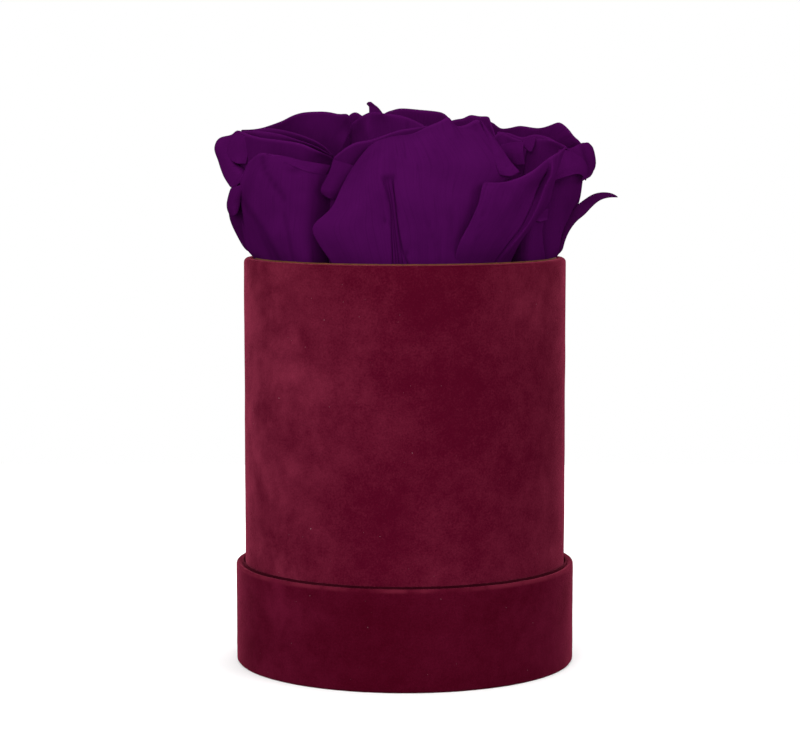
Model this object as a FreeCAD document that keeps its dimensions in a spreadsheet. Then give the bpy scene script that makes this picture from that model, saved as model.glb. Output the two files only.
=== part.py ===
import FreeCAD, Part
import math
import os
import Sketcher
from FreeCAD import Vector

# A round velvet flower box that stands in its own upturned lid, with four preserved roses held in dry foam.
# Millimetres, with the origin at the middle of the underside of the lid, +Z up and the front of the box at -Y.

doc = FreeCAD.newDocument("FlowerBox")
dims = doc.addObject("Spreadsheet::Sheet", "Dims")

DIMENSIONS = {
    # box
    "body_diameter": 100.0,       # over the velvet
    "body_height": 123.3,         # velvet foot to velvet rim
    "velvet": 0.5,
    "tube_wall": 2.0,
    "floor_board": 2.0,
    "paper": 0.2,
    "rim_turn_in": 8.0,           # velvet turned in over the rim
    "foot_turn_in": 8.0,          # velvet turned under the foot
    "rim_round": 1.1,
    "lining_proud": 0.4,          # lining above the velvet rim
    # lid
    "lid_height": 31.0,
    "lid_wall": 1.3,
    "lid_panel": 2.0,
    "lid_turn_in": 6.0,
    "lid_fit": 0.5,               # radial play between the turned-in velvet and the box
    # foam and stems
    "foam_fit": 0.5,              # radial play between foam and lining
    "foam_drop": 29.0,            # rim down to the foam
    "stem_diameter": 6.0,
    "stem_length": 14.0,
    "stem_bore": 9.0,             # depth of the pick in the stem
    "pick_diameter": 1.6,
    "pick_length": 48.0,
    "pick_point": 4.0,
    "hole_play": 0.3,             # radial play of stem and pick in the foam
    # roses
    "hip_drop": 15.0,             # rim down to the shoulder of a hip
    "hip_radius": 9.5,
    "hip_height": 12.0,           # under the shoulder
    "cone_height": 6.0,           # above the shoulder, where the petals grow
    "cone_tip": 2.0,
    "rose_inset": 12.3,           # hip shoulder to lining
    "seam_x": 2.0,                # the four seams between the roses meet here
    "seam_front_left": 231.0,     # directions of the seams, degrees from +X
    "seam_front_right": 336.0,
    "seam_right_back": 422.0,
    "seam_back_left": 502.0,
    "rose_gap": 1.4,              # free space across a seam
    "petal_wall_gap": 3.0,        # petals to lining, below the rim
    "overhang": 15.5,             # petals spread this much further above the rim
    "overhang_rise": 30.0,
    "petal": 0.35,
    "rose_spread": 29.0,          # outermost petal, before it is pressed into its cell
    "heart_radius": 3.4,
    "heart_height": 46.0,
    "front_height": 57.5,         # petal tops above the shoulder
    "left_height": 60.0,
    "right_height": 57.0,
    "back_height": 63.5,
    "sepal": 0.5,
    "sepal_length": 13.0,
    "sepal_width": 5.0,
    "long_sepal_rise": 33.0,      # the long sepal of the right rose, above the shoulder
    "long_sepal_out": 20.0,       # its tip beyond the lining
}
for row, (alias, value) in enumerate(DIMENSIONS.items(), start=1):
    dims.set(f"A{row}", alias.replace("_", " "))
    dims.set(f"B{row}", str(value))
    dims.setAlias(f"B{row}", alias)
doc.recompute()

# Shared sizes, as expressions on the sheet
BODY_R = "(Dims.body_diameter / 2)"
TUBE_R = f"({BODY_R} - Dims.velvet)"
TUBE_IN = f"({TUBE_R} - Dims.tube_wall)"
LINING_R = f"({TUBE_IN} - Dims.velvet)"
LINING_IN = f"({LINING_R} - Dims.paper)"
FOAM_R = f"({LINING_IN} - Dims.foam_fit)"
LID_TURN_R = f"({BODY_R} + Dims.lid_fit)"
LID_IN = f"({LID_TURN_R} + Dims.velvet)"
LID_BOARD_R = f"({LID_IN} + Dims.lid_wall)"
LID_R = f"({LID_BOARD_R} + Dims.velvet)"

PANEL_TOP = "(Dims.velvet + Dims.lid_panel)"
SEAT_Z = f"({PANEL_TOP} + Dims.paper)"
TUBE_FOOT = f"({SEAT_Z} + Dims.velvet)"
FLOOR_TOP = f"({TUBE_FOOT} + Dims.floor_board)"
RIM_Z = f"({SEAT_Z} + Dims.body_height)"
FOAM_TOP = f"({RIM_Z} - Dims.foam_drop)"
SHOULDER_Z = f"({RIM_Z} - Dims.hip_drop)"
STEM_TOP = f"({SHOULDER_Z} - Dims.hip_height)"
STEM_FOOT = f"({STEM_TOP} - Dims.stem_length)"
PICK_FOOT = f"({STEM_FOOT} + Dims.stem_bore - Dims.pick_length)"
ROSE_RING = f"({LINING_IN} - Dims.hip_radius - Dims.rose_inset)"

ROSES = {
    "front": ("seam_front_left", "seam_front_right", 0),
    "right": ("seam_front_right", "seam_right_back", 0),
    "back": ("seam_right_back", "seam_back_left", 0),
    "left": ("seam_back_left", "seam_front_left", 360),
}
PETALS = 15
ROWS, COLUMNS = 8, 13             # points along and across a petal
TURN = 137.5                      # degrees from each petal to the next


def size(expression):
    return float(dims.evalExpression(expression))


def bind(feature, **expressions):
    for name, expression in expressions.items():
        feature.setExpression(name.replace("__", "."), expression)
    return feature


def body_with_sketch(name, role):
    body = doc.addObject("PartDesign::Body", name)
    sketch = body.newObject("Sketcher::SketchObject", name + "_outline")
    sketch.AttachmentSupport = [(next(f for f in body.Origin.OriginFeatures if f.Role == role), "")]
    sketch.MapMode = "FlatFace"
    return body, sketch


def padded(name, z_low, height, outer, inner=None):
    """A disc, or a ring where an inner radius is given."""
    body, sketch = body_with_sketch(name, "XY_Plane")
    bind(sketch, AttachmentOffset__Base__z=z_low)
    for index, radius in enumerate(r for r in (outer, inner) if r):
        sketch.addGeometry(Part.Circle(Vector(), Vector(0, 0, 1), size(radius)))
        sketch.addConstraint(Sketcher.Constraint("Coincident", index, 3, -1, 1))
        rule = sketch.addConstraint(Sketcher.Constraint("Radius", index, size(radius)))
        sketch.setExpression(f"Constraints[{rule}]", radius)
    pad = body.newObject("PartDesign::Pad", name + "_pad")
    pad.Profile = sketch
    bind(pad, Length=height)
    doc.recompute()
    return body


def turned(name, corners, rounds=None):
    """A profile of (radius, height) corners turned around Z, with some of its circular edges rounded."""
    body, sketch = body_with_sketch(name, "XZ_Plane")
    points = [Vector(size(r), size(z), 0) for r, z in corners]
    count = len(points)
    for index in range(count):
        sketch.addGeometry(Part.LineSegment(points[index], points[(index + 1) % count]))
    for index in range(count):
        sketch.addConstraint(Sketcher.Constraint("Coincident", index, 2, (index + 1) % count, 1))
    for index, (r, z) in enumerate(corners):
        if r == "0":
            sketch.addConstraint(Sketcher.Constraint("PointOnObject", index, 1, -2))
        else:
            rule = sketch.addConstraint(Sketcher.Constraint("DistanceX", -1, 1, index, 1, points[index].x))
            sketch.setExpression(f"Constraints[{rule}]", r)
        rule = sketch.addConstraint(Sketcher.Constraint("DistanceY", -1, 1, index, 1, points[index].y))
        sketch.setExpression(f"Constraints[{rule}]", z)
    tip = body.newObject("PartDesign::Revolution", name + "_turned")
    tip.Profile = sketch
    tip.ReferenceAxis = (sketch, ["V_Axis"])
    tip.Angle = 360
    doc.recompute()
    for number, (index, radius) in enumerate(rounds or []):
        r, z = points[index].x, points[index].y
        edges = [f"Edge{i}" for i, edge in enumerate(tip.Shape.Edges, start=1)
                 if isinstance(edge.Curve, Part.Circle) and abs(edge.Curve.Radius - r) < 1e-6
                 and abs(edge.Curve.Center.z - z) < 1e-6]
        rounded = body.newObject("PartDesign::Fillet", f"{name}_round_{number}")
        rounded.Base = (tip, edges)
        bind(rounded, Radius=radius)
        doc.recompute()
        tip = rounded
    return body


def rod(name, rose, z_low, height, diameter):
    rod_feature = doc.addObject("Part::Cylinder", name)
    bind(rod_feature, Radius=f"{diameter} / 2", Height=height, Placement__Base__z=z_low,
         Placement__Base__x=rose_x(rose), Placement__Base__y=rose_y(rose))
    return rod_feature


def cut(name, base, tools):
    feature = doc.addObject("Part::Cut", name)
    feature.Base = base
    tool = doc.addObject("Part::Compound", name + "_tools")
    tool.Links = tools
    feature.Tool = tool
    return feature


def rose_direction(rose):
    first, second, turn = ROSES[rose]
    return f"((Dims.{first} + Dims.{second} + {turn}) / 2)"


def rose_x(rose):
    return f"(Dims.seam_x + {ROSE_RING} * cos({rose_direction(rose)}))"


def rose_y(rose):
    return f"({ROSE_RING} * sin({rose_direction(rose)}))"


# Lid, upturned: board ring and panel, velvet outside, paper inside
lid_wall = padded("lid_wall", "Dims.velvet", "Dims.lid_height - 2 * Dims.velvet", LID_BOARD_R, LID_IN)
lid_panel = padded("lid_panel", "Dims.velvet", "Dims.lid_panel", LID_IN)
lid_velvet_disc = padded("lid_velvet_disc", "0", "Dims.velvet", LID_BOARD_R)
LID_TURN_Z = "(Dims.lid_height - Dims.lid_turn_in)"
LID_EDGE_Z = "(Dims.lid_height - Dims.velvet)"
lid_velvet_strip = turned("lid_velvet_strip", [
    (LID_BOARD_R, "Dims.velvet / 2"), (LID_R, "Dims.velvet / 2"), (LID_R, "Dims.lid_height"),
    (LID_TURN_R, "Dims.lid_height"), (LID_TURN_R, LID_TURN_Z), (LID_IN, LID_TURN_Z),
    (LID_IN, LID_EDGE_Z), (LID_BOARD_R, LID_EDGE_Z)],
    rounds=[(2, "Dims.velvet * 0.9"), (3, "Dims.velvet * 0.9")])
lid_wall_lining = padded("lid_wall_lining", PANEL_TOP, f"{LID_TURN_Z} - {PANEL_TOP}", LID_IN,
                         f"{LID_IN} - Dims.paper")
lid_panel_lining = padded("lid_panel_lining", PANEL_TOP, "Dims.paper", f"{LID_IN} - Dims.paper")

# Box: board tube and floor, velvet turned over rim and foot, paper lining
RIM_BOARD_Z = f"({RIM_Z} - Dims.velvet)"
TURN_Z = f"({RIM_Z} - Dims.rim_turn_in)"
FOOT_IN = f"({BODY_R} - Dims.foot_turn_in)"
box_tube = padded("box_tube", TUBE_FOOT, f"{RIM_BOARD_Z} - {TUBE_FOOT}", TUBE_R, TUBE_IN)
box_floor = padded("box_floor", TUBE_FOOT, "Dims.floor_board", TUBE_IN)
box_velvet_cover = turned("box_velvet_cover", [
    (FOOT_IN, SEAT_Z), (BODY_R, SEAT_Z), (BODY_R, RIM_Z), (LINING_R, RIM_Z), (LINING_R, TURN_Z),
    (TUBE_IN, TURN_Z), (TUBE_IN, RIM_BOARD_Z), (TUBE_R, RIM_BOARD_Z), (TUBE_R, TUBE_FOOT), (FOOT_IN, TUBE_FOOT)],
    rounds=[(2, "Dims.velvet * 0.9"), (1, "Dims.velvet * 0.9")])
box_base_paper = padded("box_base_paper", f"{TUBE_FOOT} - Dims.paper", "Dims.paper", f"{FOOT_IN}")
box_lining = padded("box_lining", FLOOR_TOP, f"{RIM_Z} + Dims.lining_proud - {FLOOR_TOP}", LINING_R, LINING_IN)

# Foam, with a hole for each stem and pick
foam_blank = doc.addObject("Part::Cylinder", "foam_blank")
bind(foam_blank, Radius=FOAM_R, Height=f"{FOAM_TOP} - {FLOOR_TOP}", Placement__Base__z=FLOOR_TOP)
holes = []
for rose in ROSES:
    holes.append(rod(f"stem_hole_{rose}", rose, f"{STEM_FOOT} - Dims.hole_play", f"{FOAM_TOP} - {STEM_FOOT} + 1",
                     "(Dims.stem_diameter + 2 * Dims.hole_play)"))
    holes.append(rod(f"pick_hole_{rose}", rose, f"{PICK_FOOT} - Dims.hole_play", f"{STEM_FOOT} - {PICK_FOOT}",
                     "(Dims.pick_diameter + 2 * Dims.hole_play)"))
foam_block = cut("foam_block", foam_blank, holes)
doc.recompute()

NODES = {feature.Name: feature for feature in (
    lid_wall, lid_panel, lid_velvet_strip, lid_velvet_disc, lid_wall_lining, lid_panel_lining,
    box_tube, box_floor, box_velvet_cover, box_base_paper, box_lining, foam_block)}


# Roses

def wall_reach(z):
    """How far from the axis of the box a petal may stand at this height."""
    rise = min(max((z - size(RIM_Z)) / size("Dims.overhang_rise"), 0.0), 1.0)
    return (size(LINING_IN) - size("Dims.petal_wall_gap")
            + size("Dims.overhang") * rise * rise * (3 - 2 * rise))


def cell_reach(rose, heading, z):
    """Free distance from the axis of a rose to its seams and to the wall, blended so that it has no corners."""
    first, second, _ = ROSES[rose]
    x, y = CENTRE[rose]
    ux, uy = math.cos(heading), math.sin(heading)
    along = x * ux + y * uy
    near = [-along + math.sqrt(along * along - x * x - y * y + wall_reach(z) ** 2)]
    for seam, side in ((first, 1), (second, -1)):
        angle = math.radians(SIZES[seam])
        nx, ny = -side * math.sin(angle), side * math.cos(angle)
        closing = -(nx * ux + ny * uy)
        if closing > 1e-6:
            clear = nx * (x - SIZES["seam_x"]) + ny * y - SIZES["rose_gap"] / 2
            near.append(clear / closing)
    return sum(d ** -4 for d in near) ** -0.25


def petal_point(rose, rank, heading, along):
    """A point of a petal: rank 0 to 1 from the heart outwards, along 0 to 1 from hip to lip."""
    root_r = SIZES["cone_tip"] + 0.5 + (SIZES["hip_radius"] - SIZES["cone_tip"] - 1.0) * rank
    root_z = SIZES["cone_height"] * (SIZES["hip_radius"] - root_r) / (SIZES["hip_radius"] - SIZES["cone_tip"])
    height = SIZES[rose + "_height"] * (1 - 0.1 * rank)
    step = 3 + 13 * rank
    spread = SIZES["rose_spread"]
    control = [(root_r, root_z), (root_r + 0.9 * step, root_z + 0.45 * step),
               (5 + (spread - 6) * rank, 0.42 * height), (4 + (spread - 4) * rank, height)]
    s = along
    weights = [(1 - s) ** 3, 3 * s * (1 - s) ** 2, 3 * s * s * (1 - s), s ** 3]
    r = sum(w * p[0] for w, p in zip(weights, control))
    z = sum(w * p[1] for w, p in zip(weights, control)) + LEVEL
    share = math.sqrt(min(r / spread, 1.0))
    r *= 1 + (cell_reach(rose, heading, z) / spread - 1) * share
    x, y = CENTRE[rose]
    return Vector(x + r * math.cos(heading), y + r * math.sin(heading), z)


def spline_rule(poles, degree):
    """Multiplicities, knots and degree of a spline that starts at its first pole and ends at its last."""
    spans = poles - degree
    return [degree + 1] + [1] * (spans - 1) + [degree + 1], [float(knot) for knot in range(spans + 1)], degree


def leaf(net, thickness):
    """A thin solid along a net of poles: a smooth skin half a thickness to either side, joined at the edges."""
    rows, columns = len(net), len(net[0])
    upper, lower = [], []
    for i in range(rows):
        upper.append([])
        lower.append([])
        for j in range(columns):
            du = net[min(i + 1, rows - 1)][j] - net[max(i - 1, 0)][j]
            dv = net[i][min(j + 1, columns - 1)] - net[i][max(j - 1, 0)]
            offset = du.cross(dv).normalize() * (thickness / 2)
            upper[i].append(net[i][j] + offset)
            lower[i].append(net[i][j] - offset)
    along, across, straight = spline_rule(rows, 3), spline_rule(columns, 3), spline_rule(2, 1)
    patches = [(upper, along, across), (lower, along, across)]
    for edge in (0, -1):
        patches.append(([upper[edge], lower[edge]], straight, across))
        patches.append(([[row[edge] for row in upper], [row[edge] for row in lower]], straight, along))
    faces = []
    for poles, (u_counts, u_knots, u_degree), (v_counts, v_knots, v_degree) in patches:
        surface = Part.BSplineSurface()
        surface.buildFromPolesMultsKnots(poles, u_counts, v_counts, u_knots, v_knots, False, False,
                                         u_degree, v_degree)
        faces.append(surface.toShape())
    shell = Part.Shell(faces)
    shell.sewShape()
    solid = Part.Solid(shell)
    if solid.Volume < 0:
        solid.reverse()
    return solid


def petal(rose, index):
    rank = (index + 2) / (PETALS + 1)
    heading = math.radians(TURN * index + 40)
    half = math.radians(66 - 8 * rank)
    grid = []
    for i in range(ROWS):
        along = -0.06 + 1.06 * i / (ROWS - 1)
        line = []
        for j in range(COLUMNS):
            across = 2 * j / (COLUMNS - 1) - 1
            width = half * (0.45 + 0.55 * math.sin(math.pi / 2 * min(1.0, max(along, 0) / 0.7)))
            line.append(petal_point(rose, rank, heading + across * width,
                                    along * (1 - 0.16 * across * across * max(along, 0))))
        grid.append(line)
    return leaf(grid, SIZES["petal"])


def sepal(rose, heading, path, width):
    """A narrow leaf along a path of (distance from the hip axis, height above the shoulder)."""
    x, y = CENTRE[rose]
    side = Vector(-math.sin(heading), math.cos(heading), 0)
    grid = []
    for i, (r, z) in enumerate(path):
        share = i / (len(path) - 1)
        half = width / 2 * (0.12 + 0.88 * math.sin(math.pi * (0.22 + 0.78 * share)))
        middle = Vector(x + r * math.cos(heading), y + r * math.sin(heading), LEVEL + z)
        grid.append([middle + side * (half * across) + Vector(0, 0, 0.06 * half * across * across)
                     for across in (-1, -0.5, 0, 0.5, 1)])
    return leaf(grid, SIZES["sepal"])


def freeform(name, solids):
    feature = doc.addObject("Part::Feature", name)
    feature.Shape = Part.makeCompound(solids) if len(solids) > 1 else solids[0]
    NODES[name] = feature
    return feature


SIZES = {alias: size(f"Dims.{alias}") for alias in DIMENSIONS}
LEVEL = size(SHOULDER_Z)
CENTRE = {rose: (size(rose_x(rose)), size(rose_y(rose))) for rose in ROSES}

for rose in ROSES:
    name = f"rose_{rose}_"
    hip = turned(name + "hip", [
        ("0", STEM_TOP), ("Dims.stem_diameter / 2 + 0.6", STEM_TOP), ("Dims.hip_radius - 1.6", f"{SHOULDER_Z} - 6.5"),
        ("Dims.hip_radius", SHOULDER_Z), ("Dims.cone_tip", f"{SHOULDER_Z} + Dims.cone_height"),
        ("0", f"{SHOULDER_Z} + Dims.cone_height")], rounds=[(2, "2.5")])
    bind(hip, Placement__Base__x=rose_x(rose), Placement__Base__y=rose_y(rose))

    heart = doc.addObject("Part::Ellipsoid", name + "heart")
    heart.Angle1 = -60
    bind(heart, Radius1="Dims.heart_height / (1 + sin(60))", Radius2="Dims.heart_radius",
         Radius3="Dims.heart_radius", Placement__Base__x=rose_x(rose), Placement__Base__y=rose_y(rose),
         Placement__Base__z=f"{SHOULDER_Z} + Dims.cone_height + Dims.heart_height * sin(60) / (1 + sin(60))")

    stem = cut(name + "stem", rod(name + "stem_blank", rose, STEM_FOOT, "Dims.stem_length", "Dims.stem_diameter"),
               [rod(name + "stem_bore", rose, STEM_FOOT, "Dims.stem_bore", "Dims.pick_diameter")])
    pick = doc.addObject("Part::Fuse", name + "pick")
    pick.Base = rod(name + "pick_wire", rose, f"{PICK_FOOT} + Dims.pick_point",
                    "Dims.pick_length - Dims.pick_point", "Dims.pick_diameter")
    point = doc.addObject("Part::Cone", name + "pick_point")
    bind(point, Radius1="Dims.pick_diameter / 8", Radius2="Dims.pick_diameter / 2", Height="Dims.pick_point",
         Placement__Base__x=rose_x(rose), Placement__Base__y=rose_y(rose), Placement__Base__z=PICK_FOOT)
    pick.Tool = point
    doc.recompute()
    NODES.update({feature.Name: feature for feature in (hip, heart, stem, pick)})

    for group, first in (("inner", 0), ("middle", 5), ("outer", 10)):
        freeform(f"{name}{group}_petals", [petal(rose, index).cut(hip.Shape) for index in range(first, first + 5)])

    leaves = []
    for index in range(5):
        heading = math.radians(size(rose_direction(rose)) + 72 * index)
        shoulder = SIZES["hip_radius"]
        width = SIZES["sepal_width"]
        tip = min(shoulder + SIZES["sepal_length"], cell_reach(rose, heading, LEVEL) - width / 2)
        root = shoulder - 1.5
        path = [(root + (tip - root) * s, -1.5 - 4.0 * s * s) for s in (0, 0.25, 0.5, 0.75, 1)]
        if rose == "right" and index == 0:
            heading = math.radians(size(rose_direction(rose)) - 40)
            wall = cell_reach(rose, heading, LEVEL) + SIZES["petal_wall_gap"] / 2
            rise, out = SIZES["long_sepal_rise"], SIZES["long_sepal_out"]
            path = [(root, -2.5), (shoulder + 3, -2.5), (wall - 4.5, 2.0), (wall - 0.9, 9.0),
                    (wall - 0.3, 16.0), (wall + 0.2 * out, 0.76 * rise), (wall + 0.48 * out, 0.95 * rise),
                    (wall + 0.75 * out, rise), (wall + out, 0.96 * rise)]
        leaves.append(sepal(rose, heading, path, width).cut(hip.Shape))
    freeform(name + "sepals", leaves)

doc.recompute()

# Every object is sound before anything is written
for feature in doc.Objects:
    if "Invalid" in feature.State or "Error" in feature.State:
        raise RuntimeError(f"{feature.Name}: {feature.State}")
for name, feature in NODES.items():
    if feature.Shape.isNull() or not feature.Shape.isValid() or feature.Shape.Volume <= 0:
        raise RuntimeError(f"{name}: unsound shape")
os.makedirs("parts", exist_ok=True)
for name, feature in NODES.items():
    feature.Shape.exportStep(f"parts/{name}.step")
    print(name, len(feature.Shape.Solids), round(feature.Shape.Volume, 1))
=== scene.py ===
import bisect
from math import atan2, cos, exp, hypot, inf, pi, radians, sin, sqrt, tau

import bmesh
import bpy
import numpy as np
from mathutils import Matrix, Vector, noise
from mathutils.geometry import intersect_point_line


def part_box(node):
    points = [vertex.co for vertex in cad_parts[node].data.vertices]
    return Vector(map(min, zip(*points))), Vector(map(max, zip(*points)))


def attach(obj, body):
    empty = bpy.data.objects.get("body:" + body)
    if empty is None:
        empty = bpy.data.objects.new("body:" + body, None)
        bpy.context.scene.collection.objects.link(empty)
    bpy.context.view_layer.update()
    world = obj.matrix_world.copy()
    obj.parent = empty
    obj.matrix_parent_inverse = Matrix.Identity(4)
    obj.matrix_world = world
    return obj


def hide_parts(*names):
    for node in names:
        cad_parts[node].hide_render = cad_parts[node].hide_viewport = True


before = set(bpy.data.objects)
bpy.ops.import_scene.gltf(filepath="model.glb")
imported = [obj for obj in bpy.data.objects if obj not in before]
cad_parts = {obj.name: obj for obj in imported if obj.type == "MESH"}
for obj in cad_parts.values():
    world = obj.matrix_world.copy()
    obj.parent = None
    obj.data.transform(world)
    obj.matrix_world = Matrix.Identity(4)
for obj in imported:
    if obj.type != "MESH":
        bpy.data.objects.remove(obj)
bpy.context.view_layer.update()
MM = 0.001


# Studio. A pale table top in a white surround, lit by broad soft lamps, and a long lens
# a little above the rim of the box, tilted down by a few degrees.

CAMERA_PLACE = (-0.0015, -0.7734, 0.1655)
CAMERA_TILT = 5.46
CAMERA_LENS = 111.9
SENSOR = 36
TABLE_SIZE = 0.45
TABLE_GREY = (0.35, 0.35, 0.35)
TABLE_WHITE = (0.95, 0.95, 0.95)
SURROUND_LOW = 0.62
SURROUND_HIGH = 0.92
LAMPS_AIM = Vector((0, 0, 0.10))
LAMPS = (("key", (-0.25, -1.20, 0.42), 0.90, 11.0), ("left", (-0.80, -0.60, 0.40), 0.60, 4.0),
         ("right", (0.80, -0.60, 0.40), 0.60, 4.5), ("top", (0.05, 0.20, 0.85), 0.60, 2.0),
         ("behind", (0.35, 1.15, 0.40), 0.90, 5.0))


def add_object(name, data, place=(0, 0, 0), rotation=(0, 0, 0)):
    thing = bpy.data.objects.new(name, data)
    thing.location = place
    thing.rotation_euler = rotation
    bpy.context.collection.objects.link(thing)
    return thing


def mesh_object(name, bm):
    mesh = bpy.data.meshes.new(name)
    bm.to_mesh(mesh)
    bm.free()
    for face in mesh.polygons:
        face.use_smooth = True
    return add_object(name, mesh)


def connect(tree, slot, value):
    """Links an input to an output of another node, or sets it to a number, a vector or a colour."""
    if isinstance(value, bpy.types.NodeSocket):
        tree.links.new(value, slot)
    else:
        slot.default_value = (*value, 1) if slot.type == "RGBA" else value


def feed(tree, node, **sockets):
    """Connects inputs of a node by their names, and returns its outputs."""
    for name, value in sockets.items():
        connect(tree, node.inputs[name.replace("_", " ")], value)
    return node.outputs


def add_node(tree, kind, **sockets):
    return feed(tree, tree.nodes.new(f"ShaderNode{kind}"), **sockets)


def new_material(name):
    material = bpy.data.materials.new(name)
    material.use_nodes = True
    return material, material.node_tree


def paint(tree, **sockets):
    feed(tree, tree.nodes["Principled BSDF"], **sockets)


def map_range(tree, value, low, high, first=0.0, last=1.0):
    """A value led smoothly from one range to another."""
    node = tree.nodes.new("ShaderNodeMapRange")
    node.interpolation_type = "SMOOTHSTEP"
    return feed(tree, node, Value=value, From_Min=low, From_Max=high, To_Min=first, To_Max=last)["Result"]


def calculate(tree, operation, *values):
    node = tree.nodes.new("ShaderNodeMath")
    node.operation = operation
    for slot, value in zip(node.inputs, values):
        connect(tree, slot, value)
    return node.outputs[0]


def mix_colours(tree, share, first, second):
    """Two colours, or outputs that give them, mixed by a share."""
    node = tree.nodes.new("ShaderNodeMix")
    node.data_type = "RGBA"
    for slot, value in ((0, share), (6, first), (7, second)):
        connect(tree, node.inputs[slot], value)
    return node.outputs[2]


def table_top():
    bm = bmesh.new()
    bmesh.ops.create_grid(bm, x_segments=2, y_segments=2, size=TABLE_SIZE)
    floor = mesh_object("floor", bm)
    material, tree = new_material("table_top")
    seen = add_node(tree, "LightPath")["Is Camera Ray"]
    paint(tree, Base_Color=mix_colours(tree, seen, TABLE_GREY, TABLE_WHITE), Roughness=0.9,
          Specular_IOR_Level=0.0)
    floor.data.materials.append(material)


def white_surround():
    world = bpy.data.worlds.new("surround")
    bpy.context.scene.world = world
    world.use_nodes = True
    tree = world.node_tree
    seen = add_node(tree, "LightPath")["Is Camera Ray"]
    height = add_node(tree, "SeparateXYZ", Vector=add_node(tree, "TexCoord")["Generated"])["Z"]
    glow = map_range(tree, height, -0.15, 0.45, SURROUND_LOW, SURROUND_HIGH)
    feed(tree, tree.nodes["Background"], Strength=calculate(tree, "MAXIMUM", seen, glow), Color=(1, 1, 1))


table_top()
white_surround()
for name, place, size, power in LAMPS:
    lamp = bpy.data.lights.new(name, "AREA")
    lamp.size = size
    lamp.energy = power
    add_object(name, lamp, place, (LAMPS_AIM - Vector(place)).to_track_quat("-Z", "Y").to_euler())
lens = bpy.data.cameras.new("camera")
lens.lens = CAMERA_LENS
lens.sensor_width = SENSOR
bpy.context.scene.camera = add_object("camera", lens, CAMERA_PLACE, (radians(90 - CAMERA_TILT), 0, 0))
bpy.context.scene.view_settings.view_transform = "Standard"


# Board of the lid and of the box. Rolled grey board for the walls and cut discs for panel and floor,
# with the fibres and flecks of recycled paper in it.

BOARD_DARK = (0.22, 0.17, 0.12)
BOARD_PALE = (0.36, 0.30, 0.22)


def dress(material, *nodes):
    for node in nodes:
        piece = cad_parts[node]
        piece.data.materials.clear()
        piece.data.materials.append(material)


def object_coordinates(tree):
    return add_node(tree, "TexCoord")["Object"]


def noise_texture(tree, vector, **sockets):
    return add_node(tree, "TexNoise", Vector=vector, **sockets)["Fac"]


def ramp(tree, value, low, high, first, last):
    """Two colours blended over a range of a value."""
    node = tree.nodes.new("ShaderNodeValToRGB")
    for element, position, colour in zip(node.color_ramp.elements, (low, high), (first, last)):
        element.position = position
        element.color = (*colour, 1)
    return feed(tree, node, Fac=value)["Color"]


def bump(tree, height, strength, distance):
    return add_node(tree, "Bump", Height=height, Strength=strength, Distance=distance)["Normal"]


def mottled(name, grain, tones, relief=None, **sockets):
    """A material of two tones, blended over a range of a noise, which may also raise a fine relief."""
    material, tree = new_material(name)
    value = noise_texture(tree, object_coordinates(tree), **grain)
    if relief:
        sockets["Normal"] = bump(tree, value, *relief)
    paint(tree, Base_Color=ramp(tree, value, *tones), **sockets)
    return material


grey_board = mottled("grey_board", dict(Scale=900, Detail=5, Roughness=0.65),
                     (0.35, 0.7, BOARD_DARK, BOARD_PALE), relief=(0.3, 0.0002), Roughness=0.9)
dress(grey_board, "lid_wall", "lid_panel", "box_tube", "box_floor")


# Velvet of the lid. A strip around the ring, turned in over its edge, and a disc on the panel, which the
# whole box stands on. The pile is brushed this way and that, so it lies in lighter patches, made lighter
# still towards the left and right sides by a painted sheen. A painted highlight lightens the top of its edge
# in patches, and a painted shade darkens all of it inside the gap around the box: a ridge of pile standing up
# in the gap, the turn-in and the disc.

# The lighter tone serves both for brushed patches and for the painted sheen towards the sides.
VELVET_DEEP = (0.0490, 0.0013, 0.0082)
VELVET_LIT = (0.1680, 0.0175, 0.0400)
VELVET_SHEEN = (0.80, 0.11, 0.21)
LID_DEEP = (0.0378, 0.0008, 0.0054)
LID_LIT = (0.0974, 0.0058, 0.0222)
# Painted shade inside the gap around the box, fading out over this width in metres.
PAINTED_GAP_SHADE = (0.010, 0.0006, 0.0020)
GAP_SHADE_WIDE = 0.0004
# Painted highlight along the top of the edge of the lid, fading out between these depths below it, in metres.
PAINTED_CREST_HIGHLIGHT = (0.105, 0.0095, 0.0220)
CREST_HIGHLIGHT_FROM = 0.0005
CREST_HIGHLIGHT_TO = 0.0015
LINT = (0.42, 0.22, 0.26)
# Painted sheen: lighter velvet towards the left and right sides, by the distance from this middle over this
# reach.
SIDE_SHEEN_MIDDLE = 0.009
SIDE_SHEEN_REACH = 0.050
UNEVEN_OUT = ((90, 0.10), (330, 0.05))
UNEVEN_UP = (120, 0.06)
LONG_EDGE = 12.0
PLAY = 0.02
LID_LIFT = 0.1
LID_FOOT_ROUND = 0.4
LID_ROUND = 0.6
LID_CREST = 0.9
LID_CREST_ROUND = 0.3
LID_TURN_IN = 6.0
LID_CLOTH = 0.5
GROOVE_IN = 0.1
GROOVE_DEEP = 0.45
# A ridge of pile standing up in the gap around the box, which carries the painted shade of the gap.
SHADE_FRINGE_IN = 0.15
SHADE_FRINGE_WIDE = 0.35
SHADE_FRINGE_HIGH = 0.5
SHADE_FRINGE_ROUND = 0.12


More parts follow.
